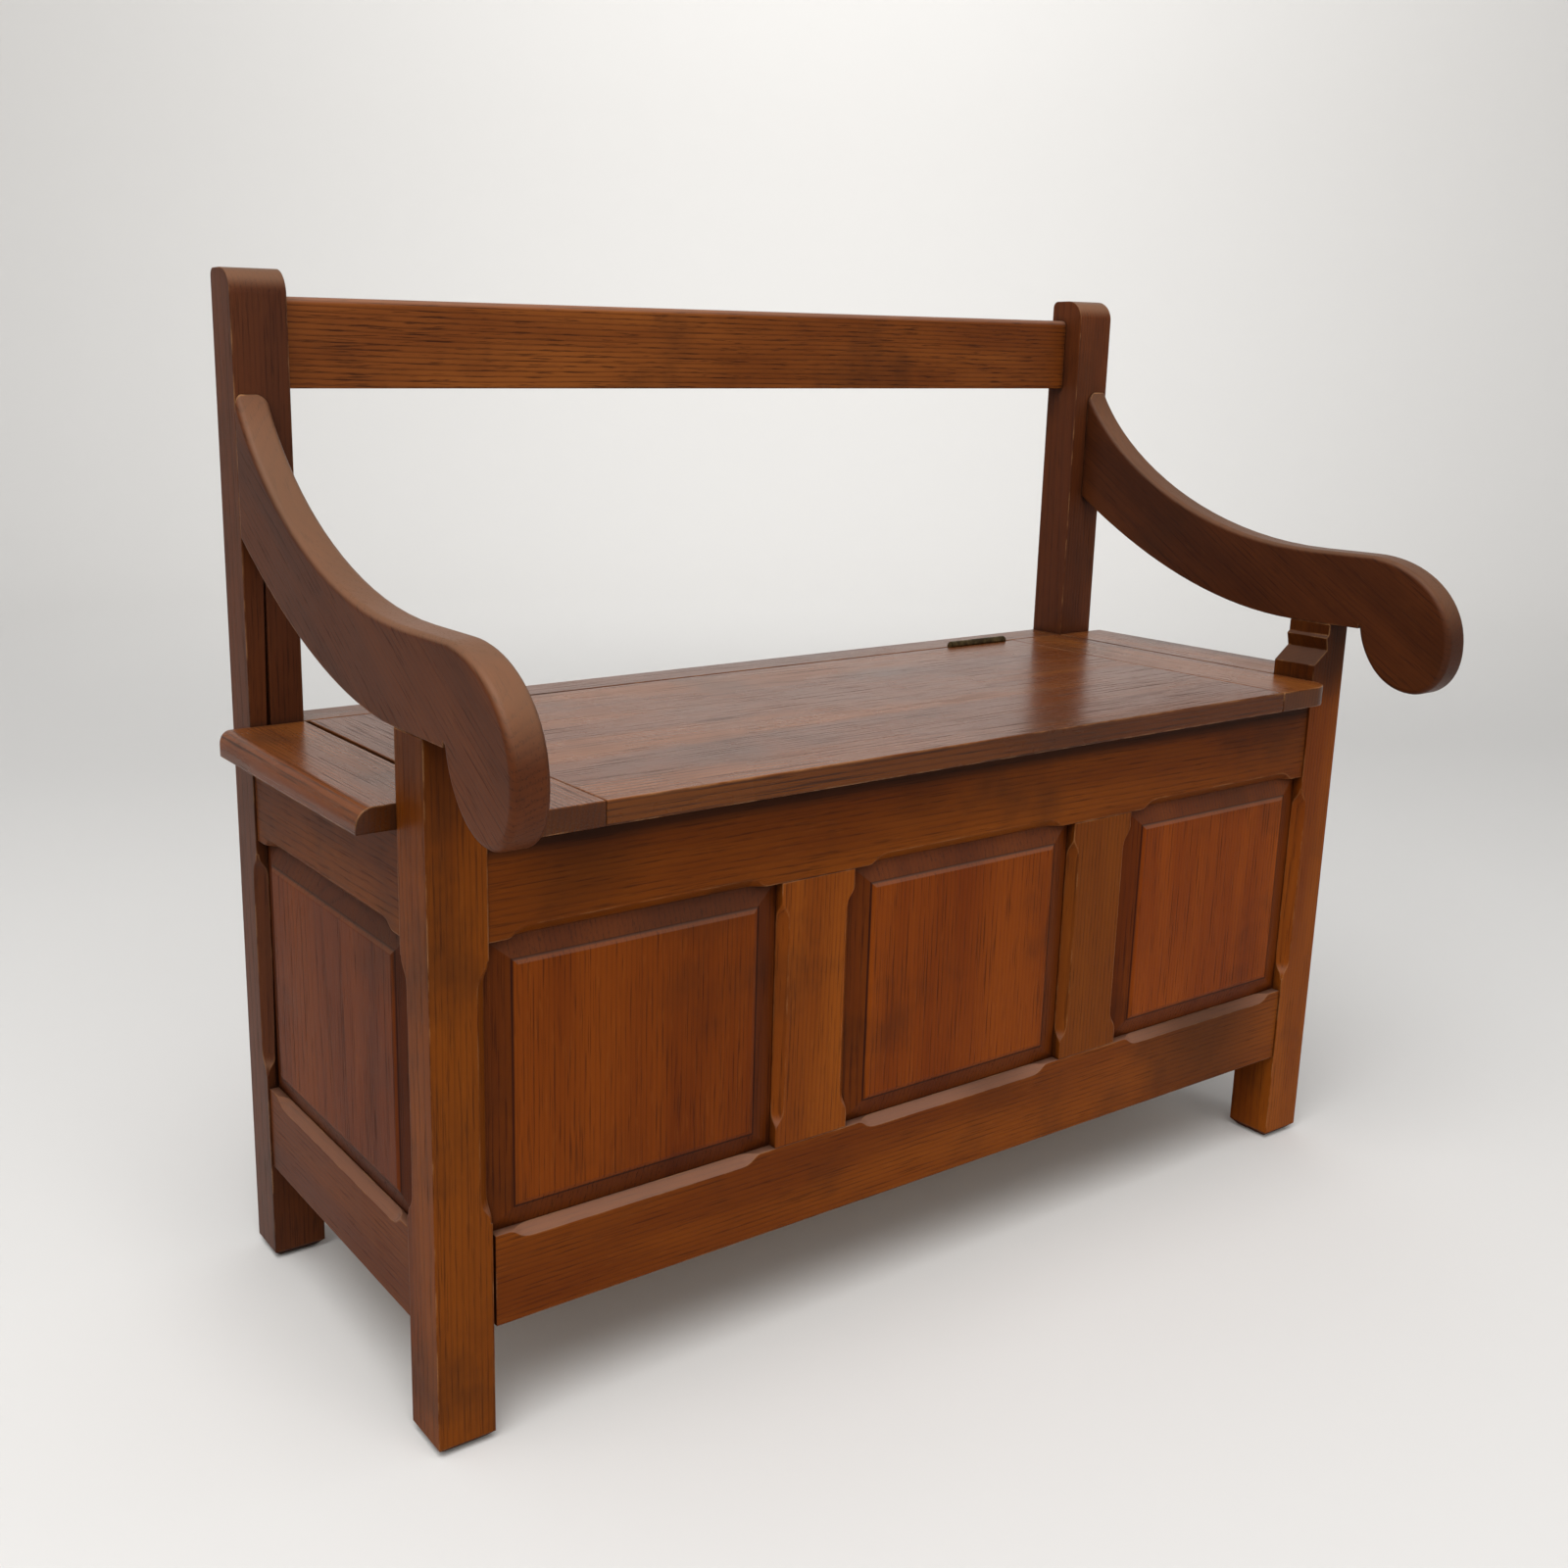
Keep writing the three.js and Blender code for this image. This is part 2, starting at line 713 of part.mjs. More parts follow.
function hingePin(start) {
  const end = start + hingeLength;
  const head = pinHeadThickness;
  return join([
    roundBar(pinRadius, start - head, end + head, pivotY, pivotZ, 16),
    roundBar(pinHeadRadius, start - head, start - jointGap, pivotY, pivotZ, 16),
    roundBar(pinHeadRadius, end + jointGap, end + head, pivotY, pivotZ, 16),
  ]);
}

// What a hinge takes out of the strip (side 1) or the lid (side -1).
function hingeRecess(start, side) {
  const end = start + hingeLength;
  const floor = leafTop - leafHeight - jointGap;
  const far = pivotY + side * (leafClearance + leafThickness + jointGap);
  const y0 = Math.min(pivotY, far);
  const y1 = Math.max(pivotY, far);
  const bed = box(start - jointGap, end + jointGap, y0, y1, floor, seatHeight + 1);
  const pinRoom = pinHeadThickness + jointGap;
  const barrel = roundBar(knuckleRadius + 0.5, start - pinRoom, end + pinRoom, pivotY, pivotZ, 32);
  return [bed, barrel, ...screwPlaces(start).map((x) => screwBody(x, side, jointGap))];
}

const hingeStarts = [-legInner + hingeInset, legInner - hingeInset - hingeLength];
const stripRecesses = hingeStarts.flatMap((start) => hingeRecess(start, 1));
const lidRecesses = hingeStarts.flatMap((start) => hingeRecess(start, -1));

// Materials

const oakFrame = () => new THREE.MeshStandardMaterial({ color: 0x6a3518, roughness: 0.42, metalness: 0 });
const oakPost = () => new THREE.MeshStandardMaterial({ color: 0x54301c, roughness: 0.45, metalness: 0 });
const oakPanel = () => new THREE.MeshStandardMaterial({ color: 0x733c19, roughness: 0.4, metalness: 0 });
const oakSeat = () => new THREE.MeshStandardMaterial({ color: 0x7a4526, roughness: 0.3, metalness: 0 });
const rawWood = () => new THREE.MeshStandardMaterial({ color: 0x8a6a48, roughness: 0.8, metalness: 0 });
const agedBrass = () => new THREE.MeshStandardMaterial({ color: 0x8c7a4a, roughness: 0.5, metalness: 1 });
const steel = () => new THREE.MeshStandardMaterial({ color: 0x77736c, roughness: 0.45, metalness: 1 });

// Assembly

const frame = new THREE.Group();
const lid = new THREE.Group();

function add(group, name, geometry, material) {
  const mesh = new THREE.Mesh(geometry, material);
  mesh.name = name;
  group.add(mesh);
}

const uprightCuts = [...openingCuts, ...railMortises];
const post = cut(postSolid(), [...uprightCuts, mortise(crest), armTenonAtPost(jointGap)]);
const leg = cut(legSolid(), uprightCuts);
const arm = armSolid();
add(frame, 'post_right', post, oakPost());
add(frame, 'post_left', mirrorX(post), oakPost());
add(frame, 'leg_right', leg, oakFrame());
add(frame, 'leg_left', mirrorX(leg), oakFrame());
add(frame, 'arm_right', arm, oakPost());
add(frame, 'arm_left', mirrorX(arm), oakPost());
add(frame, 'crest_rail', crestSolid(), oakFrame());

const railSides = { front: frontRails, left: leftRails, right: rightRails, back: backRails };
for (const [side, rails] of Object.entries(railSides)) {
  for (const [level, member] of Object.entries(rails)) {
    const geometry = cut(memberGeometry(member), [...openingCuts, ...muntinMortises]);
    add(frame, `rail_${side}_${level}`, geometry, oakFrame());
  }
}

frontMuntins.forEach((member, i) => {
  add(frame, `muntin_front_${['left', 'right'][i]}`, cut(memberGeometry(member), openingCuts), oakFrame());
});
add(frame, 'muntin_back', cut(memberGeometry(backMuntins[0]), openingCuts), oakFrame());

frontOpenings.forEach((opening, i) => {
  add(frame, `panel_front_${['left', 'middle', 'right'][i]}`, raisedPanel(opening), oakPanel());
});
add(frame, 'panel_left', raisedPanel(leftOpenings[0]), oakPanel());
add(frame, 'panel_right', raisedPanel(rightOpenings[0]), oakPanel());
// Seen from behind, the back openings run the other way along X.
backOpenings.forEach((opening, i) => {
  add(frame, `panel_back_${['right', 'left'][i]}`, flatPanel(opening), oakPanel());
});

add(frame, 'seat_end_right', endBoard(), oakSeat());
add(frame, 'seat_end_left', mirrorX(endBoard()), oakSeat());
add(frame, 'hinge_strip', cut(hingeStrip(), stripRecesses), oakSeat());
add(frame, 'seat_bearer_right', seatBearer(), rawWood());
add(frame, 'seat_bearer_left', mirrorX(seatBearer()), rawWood());
add(frame, 'floor_cleat_front', floorCleat(true), rawWood());
add(frame, 'floor_cleat_back', floorCleat(false), rawWood());
for (let i = 0; i < floorBoardCount; i += 1) {
  add(frame, `floor_board_${i + 1}`, floorBoard(i), rawWood());
}

add(lid, 'lid_panel', cut(lidPanelBoard(), lidRecesses), oakSeat());
const lidEnd = toGeometry(toSolid(lidEndBoard()));
add(lid, 'lid_end_left', mirrorX(lidEnd).translate(lidOffset, 0, 0), oakSeat());
add(lid, 'lid_end_right', lidEnd.translate(lidOffset, 0, 0), oakSeat());

hingeStarts.forEach((start, i) => {
  const where = ['left', 'right'][i];
  add(frame, `hinge_${where}_leaf_fixed`, hingeLeaf(start, 1), agedBrass());
  add(lid, `hinge_${where}_leaf_lid`, hingeLeaf(start, -1), agedBrass());
  add(frame, `hinge_${where}_pin`, hingePin(start), agedBrass());
  screwPlaces(start).forEach((x, k) => {
    const fixed = cut(screwBody(x, 1, 0), [screwSlot(x, 1)]);
    const moving = cut(screwBody(x, -1, 0), [screwSlot(x, -1)]);
    add(frame, `screw_${where}_fixed_${k + 1}`, fixed, steel());
    add(lid, `screw_${where}_lid_${k + 1}`, moving, steel());
  });
});

const bench = new THREE.Group();
bench.add(frame, lid);
bench.position.y = scrollFront / 2;
bench.updateMatrixWorld(true);

export default bench;
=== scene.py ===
import math
import bpy
from mathutils import Matrix, Vector


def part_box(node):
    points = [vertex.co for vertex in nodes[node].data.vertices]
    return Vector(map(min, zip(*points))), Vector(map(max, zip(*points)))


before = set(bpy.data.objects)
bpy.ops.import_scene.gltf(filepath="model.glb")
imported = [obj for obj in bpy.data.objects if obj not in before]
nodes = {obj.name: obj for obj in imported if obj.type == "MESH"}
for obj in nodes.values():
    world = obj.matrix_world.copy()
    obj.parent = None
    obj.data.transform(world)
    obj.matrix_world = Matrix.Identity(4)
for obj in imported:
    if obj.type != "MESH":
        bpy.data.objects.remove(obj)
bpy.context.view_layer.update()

scene = bpy.context.scene


def linear(hexColour):
    # an sRGB hex colour as linear red, green, blue and full alpha
    parts = [int(hexColour[i:i + 2], 16) / 255 for i in (1, 3, 5)]
    low = [c / 12.92 if c <= 0.04045 else ((c + 0.055) / 1.055) ** 2.4 for c in parts]
    return (*low, 1.0)


def addNode(tree, kind, settings, inputs):
    # adds one node: its settings, and for each input the socket that feeds it or its value
    node = tree.nodes.new(kind)
    for key, value in settings.items():
        setattr(node, key, value)
    for key, item in inputs.items():
        if isinstance(item, bpy.types.NodeSocket):
            tree.links.new(item, node.inputs[key])
        else:
            node.inputs[key].default_value = item
    return node


def startMaterial(name):
    material = bpy.data.materials.new(name)
    material.use_nodes = True
    material.node_tree.nodes.clear()
    return material, material.node_tree


def layColour(tree, under, over, source, span, strength):
    # lays a colour over another, from none where the source is span[0] to full strength at span[1]
    amount = addNode(tree, "ShaderNodeMapRange", {"interpolation_type": "SMOOTHSTEP"},
                     {"Value": source, "From Min": span[0], "From Max": span[1], "To Max": strength})
    return addNode(tree, "ShaderNodeMix", {"data_type": "RGBA"},
                   {0: amount.outputs["Result"], 6: under, 7: linear(over)}).outputs[2]


# Stained and varnished oak, sawn, planed and aged: growth rings, open pores that hold dark stain
# and short paler ray flecks. The grain runs along local X. Scales are metres, or cycles per metre.
oak = {
    "ringSpacing": 0.0042,             # growth rings about 4 mm apart
    "ringDrift": 0.010,                # rings widen 10 mm in each metre along the trunk
    "bendScale": (1.3, 7.0, 7.0),      # slow wander of the rings
    "bendReach": 0.022,
    "ripScale": (5.0, 90.0, 90.0),     # small unevenness of the rings
    "ripReach": 0.0016,
    "porousPart": (0.52, 0.0),         # share of each ring that is open-pored
    "poreLength": 0.022,               # pores drawn 22 mm long and 1.3 mm wide, coarser than real
    "poreWidth": 0.0013,
    "poreCrowding": 0.075,             # pores lie closer together in the porous part
    "poreSpan": (0.56, 0.72),
    "rayLength": 0.010,
    "rayWidth": 0.0022,
    "raySpan": (0.60, 0.74),
    "toneScale": (3.0, 14.0, 14.0),    # broad changes of tone along the board
    "toneSpan": (0.30, 0.70),
    "ringStain": dict(over="#2E1509", strength=0.55),
    "poreStain": dict(over="#1E0D07", strength=0.75),
    "rayGleam": dict(over="#A8662A", strength=0.45),
    "poreDepth": -0.7,                 # relief, as shares of the bump distance
    "ringDepth": -0.3,
    "poreDulling": 0.18,               # roughness added in pores and in pale patches
    "toneDulling": 0.10,
    "ior": 1.5,
    "coatRough": 0.22,
    "relief": 0.35,
}


def makeOakFigure():
    tree = bpy.data.node_groups.new("oakFigure", "ShaderNodeTree")
    for name, kind in (("Vector", "NodeSocketVector"), ("Light", "NodeSocketColor"),
                       ("Dark", "NodeSocketColor"), ("Rings", "NodeSocketFloat"),
                       ("Pores", "NodeSocketFloat"), ("Rays", "NodeSocketFloat")):
        tree.interface.new_socket(name, in_out="INPUT", socket_type=kind)
    for name, kind in (("Colour", "NodeSocketColor"), ("Height", "NodeSocketFloat"),
                       ("Gloss", "NodeSocketFloat")):
        tree.interface.new_socket(name, in_out="OUTPUT", socket_type=kind)
    given = addNode(tree, "NodeGroupInput", {}, {})
    vector = given.outputs["Vector"]
    poreSize, raySize = 1 / oak["poreWidth"], 1 / oak["rayWidth"]

    # the five patterns, each stretched along the grain
    patterns = {
        "bend": (oak["bendScale"], 2.0, 0.5),
        "rip": (oak["ripScale"], 2.0, 0.5),
        "pore": ((1 / oak["poreLength"], poreSize, poreSize), 2.0, 0.6),
        "ray": ((1 / oak["rayLength"], raySize, raySize), 1.0, 0.5),
        "tone": (oak["toneScale"], 3.0, 0.6),
    }
    drawn = {}
    for name, (scale, detail, roughness) in patterns.items():
        stretched = addNode(tree, "ShaderNodeMapping", {"vector_type": "POINT"},
                            {"Scale": scale, "Vector": vector})
        drawn[name] = addNode(tree, "ShaderNodeTexNoise", {"noise_dimensions": "3D"},
                              {"Scale": 1.0, "Detail": detail, "Roughness": roughness,
                               "Vector": stretched.outputs["Vector"]}).outputs["Fac"]

    # growth rings round the heart of the tree
    parts = addNode(tree, "ShaderNodeSeparateXYZ", {}, {"Vector": vector})
    across = addNode(tree, "ShaderNodeCombineXYZ", {}, {"Y": parts.outputs["Y"], "Z": parts.outputs["Z"]})
    fromHeart = addNode(tree, "ShaderNodeVectorMath", {"operation": "LENGTH"}, {0: across.outputs[0]})
    widened = addNode(tree, "ShaderNodeMath", {"operation": "MULTIPLY_ADD"},
                      {0: parts.outputs["X"], 1: oak["ringDrift"], 2: fromHeart.outputs["Value"]})
    centred = addNode(tree, "ShaderNodeMath", {"operation": "SUBTRACT"}, {0: drawn["bend"], 1: 0.5})
    bent = addNode(tree, "ShaderNodeMath", {"operation": "MULTIPLY_ADD"},
                   {0: centred.outputs[0], 1: oak["bendReach"], 2: widened.outputs[0]})
    uneven = addNode(tree, "ShaderNodeMath", {"operation": "MULTIPLY_ADD"},
                     {0: drawn["rip"], 1: oak["ripReach"], 2: bent.outputs[0]})
    counted = addNode(tree, "ShaderNodeMath", {"operation": "DIVIDE"},
                      {0: uneven.outputs[0], 1: oak["ringSpacing"]})
    ring = addNode(tree, "ShaderNodeMath", {"operation": "FRACT"}, {0: counted.outputs[0]})
    porous = addNode(tree, "ShaderNodeMapRange", {"interpolation_type": "SMOOTHSTEP"},
                     {"Value": ring.outputs[0], "From Min": oak["porousPart"][0],
                      "From Max": oak["porousPart"][1]}).outputs["Result"]
    rings = addNode(tree, "ShaderNodeMath", {"operation": "MULTIPLY"},
                    {0: porous, 1: given.outputs["Rings"]}).outputs[0]

    # pores: long thin dark streaks; rays: short paler flecks
    crowded = addNode(tree, "ShaderNodeMath", {"operation": "MULTIPLY_ADD"},
                      {0: porous, 1: oak["poreCrowding"], 2: drawn["pore"]}).outputs[0]
    masks = {}
    for name, source, span, share in (("pore", crowded, oak["poreSpan"], "Pores"),
                                      ("ray", drawn["ray"], oak["raySpan"], "Rays")):
        clear = addNode(tree, "ShaderNodeMapRange", {"interpolation_type": "SMOOTHSTEP"},
                        {"Value": source, "From Min": span[0], "From Max": span[1]})
        masks[name] = addNode(tree, "ShaderNodeMath", {"operation": "MULTIPLY"},
                              {0: clear.outputs["Result"], 1: given.outputs[share]}).outputs[0]

    tone = addNode(tree, "ShaderNodeMapRange", {"interpolation_type": "SMOOTHSTEP"},
                   {"Value": drawn["tone"], "From Min": oak["toneSpan"][0], "From Max": oak["toneSpan"][1]})
    colour = addNode(tree, "ShaderNodeMix", {"data_type": "RGBA"},
                     {0: tone.outputs["Result"], 6: given.outputs["Dark"],
                      7: given.outputs["Light"]}).outputs[2]
    for mask, stain in ((rings, oak["ringStain"]), (masks["pore"], oak["poreStain"]),
                        (masks["ray"], oak["rayGleam"])):
        amount = addNode(tree, "ShaderNodeMath", {"operation": "MULTIPLY"}, {0: mask, 1: stain["strength"]})
        colour = addNode(tree, "ShaderNodeMix", {"data_type": "RGBA"},
                         {0: amount.outputs[0], 6: colour, 7: linear(stain["over"])}).outputs[2]

    sunk = addNode(tree, "ShaderNodeMath", {"operation": "MULTIPLY"}, {0: rings, 1: oak["ringDepth"]})
    height = addNode(tree, "ShaderNodeMath", {"operation": "MULTIPLY_ADD"},
                     {0: masks["pore"], 1: oak["poreDepth"], 2: sunk.outputs[0]})
    dulled = addNode(tree, "ShaderNodeMath", {"operation": "MULTIPLY"},
                     {0: drawn["tone"], 1: oak["toneDulling"]})
    gloss = addNode(tree, "ShaderNodeMath", {"operation": "MULTIPLY_ADD"},
                    {0: masks["pore"], 1: oak["poreDulling"], 2: dulled.outputs[0]})
    addNode(tree, "NodeGroupOutput", {}, {"Colour": colour, "Height": height.outputs[0],
                                          "Gloss": gloss.outputs[0]})
    return tree


oakFigure = makeOakFigure()

# turns that bring each piece's grain along local X; an arm is cut along its own slope
grainTurns = {
    "x": (0.0, 0.0, 0.0),
    "y": (0.0, 0.0, math.radians(90)),
    "z": (0.0, math.radians(90), 0.0),
    "arm": (0.0, math.radians(-33), math.radians(90)),
}

# finish of each kind of oak piece: colours, how strong the figure is, where the heart of the tree
# lies from the middle of the board, how the varnish shines, and how strong and what colour the painted
# sheen on up-facing faces is; "rough" is the least roughness, before pores, smears and corners add to it
oakKinds = {
    "frame": dict(light="#7E400D", dark="#622C08", rings=0.40, pores=0.50, rays=0.10, heart=(0.05, 0.11),
                  stretch=0.6, rough=0.28, specular=0.045, coat=0.0, wear=0.55, paintedSheen=0.46,
                  paintedSheenColour="#9C7A68", bump=0.0005),
    "crest": dict(light="#82481A", dark="#643210", rings=0.75, pores=0.85, rays=0.05, heart=(0.045, 0.10),
                  stretch=0.8, rough=0.28, specular=0.08, coat=0.0, wear=0.55, paintedSheen=0.40,
                  paintedSheenColour="#9C7A68", bump=0.0005),
    "post": dict(light="#623216", dark="#482310", rings=0.40, pores=0.60, rays=0.05, heart=(0.05, 0.12),
                 stretch=0.6, rough=0.30, specular=0.10, coat=0.0, wear=0.65, paintedSheen=0.42,
                 paintedSheenColour="#98745A", bump=0.0005),
    "panel": dict(light="#843E0B", dark="#6A2C07", rings=0.30, pores=0.65, rays=0.12, heart=(0.05, 0.22),
                  stretch=0.45, rough=0.28, specular=0.045, coat=0.0, wear=0.30, paintedSheen=0.52,
                  paintedSheenColour="#9C7A68", bump=0.0005),
    "seat": dict(light="#884A10", dark="#642F08", rings=0.85, pores=1.0, rays=0.03, heart=(0.30, 0.06),
                 stretch=0.30, rough=0.16, specular=0.16, coat=0.02, wear=0.75, paintedSheen=0.06,
                 paintedSheenColour="#9C7A68", bump=0.00006),
}

# boards of one bench are never quite the same tone; a piece not named here strays this little
toneSpread = 0.06
pieceTones = {
    "muntin_front_left": 1.18, "muntin_front_right": 0.80, "panel_front_left": 0.80,
    "panel_front_middle": 0.94, "panel_front_right": 1.08, "rail_front_top": 0.88,
    "rail_front_bottom": 0.95, "crest_rail": 1.06, "leg_right": 1.16, "leg_left": 0.84,
    "panel_left": 0.66, "rail_left_top": 0.70, "rail_left_bottom": 0.74, "post_left": 0.80,
    "post_right": 1.20, "arm_left": 0.84, "arm_right": 0.62, "hinge_strip": 0.85,
    "seat_end_left": 0.90, "lid_panel": 0.92, "lid_end_left": 0.95,
}

# how far in from the edge of a panel's board, hidden tongue included, its step lies
raisedPanel = {"sideBand": 0.0250, "endBand": 0.0215}

# what age has laid over the stain, with painted shade and sheen: its colour, where it runs from none to
# full, and how strongly
ageAndPaintedLight = {
    "endGrain": dict(over="#2A140A", span=(0.80, 0.95), strength=0.45),      # drinks more stain
    "frontEdge": dict(over="#3A1C0A", span=(-0.60, -0.95), strength=0.50),   # darker on faces that look to the front
    "cloud": dict(over="#2F1A0E", span=(0.50, 0.74), strength=0.45),         # patches of old polish
    "shadowUnderLid": dict(over="#170B06", depth=(0.020, 0.008), strength=0.80),   # painted shadow under the lid's overhang
    "margin": dict(over="#1C0B06", span=(-0.0008, 0.0004), strength=0.46),   # round a raised field
    "stepShadow": dict(span=(0.0018, 0.0003), strength=0.85),                  # painted shadow, a thin line at the foot of the step
    "paintedSheen": dict(span=(0.12, 0.75)),                                        # painted sheen, paler on what looks up
    # colour of the dark marks, and of the painted shade on the legs' necks
    "marksAndShade": dict(over="#150C07"),
    "arris": dict(over="#B58254", reach=0.0018, span=(0.995, 0.90)),         # stain rubbed through
    "arrisPatch": dict(scale=46.0, span=(0.42, 0.66)),
    # dark wax and dust where pieces meet, with painted shade in the same hollows
    "corner": dict(over="#1B0D08", reach=0.011, span=(0.86, 0.40), strength=0.62, dulling=0.15),
    "smear": dict(scale=11.0, strength=0.12),                                # uneven shine
}

# dark marks, and painted shade on the legs' necks under the arms: place from the middle of the piece, inner
# and outer radius, strength
marksAndShade = {
    "lid_panel": [((0.1867, 0.1198, 0.0090), 0.0012, 0.0022, 1.0)],    # a nail hole
    # the legs' marks are painted shade on the neck under the arm
    "leg_right": [((0.0, 0.0, 0.25), 0.04, 0.09, 0.72)],
    "leg_left": [((0.0, 0.0, 0.25), 0.03, 0.08, 0.40)],
    "rail_front_bottom": [((0.33, 0.007, 0.027), 0.02, 0.13, 0.58),
                          ((0.05, 0.007, 0.042), 0.01, 0.06, 0.30)],
    "rail_front_top": [((-0.36, 0.007, 0.018), 0.01, 0.07, 0.40),
                       ((-0.05, 0.007, 0.023), 0.01, 0.05, 0.25)],
}


def layMargin(tree, under, parts, name):
    # a raised panel's sloping margin is darker, darkest in a painted shadow along the foot of its step
    low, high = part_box(name)
    wide = 0 if high[0] - low[0] > high[1] - low[1] else 1
    outside = []
    for axis, band in ((wide, raisedPanel["sideBand"]), (2, raisedPanel["endBand"])):
        middle, half = (low[axis] + high[axis]) / 2, (high[axis] - low[axis]) / 2
        centred = addNode(tree, "ShaderNodeMath", {"operation": "SUBTRACT"},
                          {0: parts.outputs[axis], 1: middle})
        apart = addNode(tree, "ShaderNodeMath", {"operation": "ABSOLUTE"}, {0: centred.outputs[0]})
        outside.append(addNode(tree, "ShaderNodeMath", {"operation": "SUBTRACT"},
                               {0: apart.outputs[0], 1: half - band}).outputs[0])
    past = addNode(tree, "ShaderNodeMath", {"operation": "MAXIMUM"}, {0: outside[0], 1: outside[1]})
    fromStep = addNode(tree, "ShaderNodeMath", {"operation": "ABSOLUTE"}, {0: past.outputs[0]})
    shades = []
    for source, layer in ((past, ageAndPaintedLight["margin"]), (fromStep, ageAndPaintedLight["stepShadow"])):
        shades.append(addNode(tree, "ShaderNodeMapRange", {"interpolation_type": "SMOOTHSTEP"},
                              {"Value": source.outputs[0], "From Min": layer["span"][0],
                               "From Max": layer["span"][1], "To Max": layer["strength"]}))
    darker = addNode(tree, "ShaderNodeMath", {"operation": "MAXIMUM"},
                     {0: shades[0].outputs["Result"], 1: shades[1].outputs["Result"]})
    return addNode(tree, "ShaderNodeMix", {"data_type": "RGBA"},
                   {0: darker.outputs[0], 6: under, 7: linear(ageAndPaintedLight["margin"]["over"])}).outputs[2]


def boardInTree(seed, heart):
    # where in the trunk a board was cut, and its slight lean; the factors only keep boards unlike
    place = (seed * 1.37,
             heart[0] * (1 + 0.3 * math.sin(seed * 4.1)),
             heart[1] * (1 + 0.25 * math.cos(seed * 3.3)))
    lean = (0.0, math.radians(0.5 * math.sin(seed * 2.7)), math.radians(0.7 * math.cos(seed * 1.9)))
    return place, lean


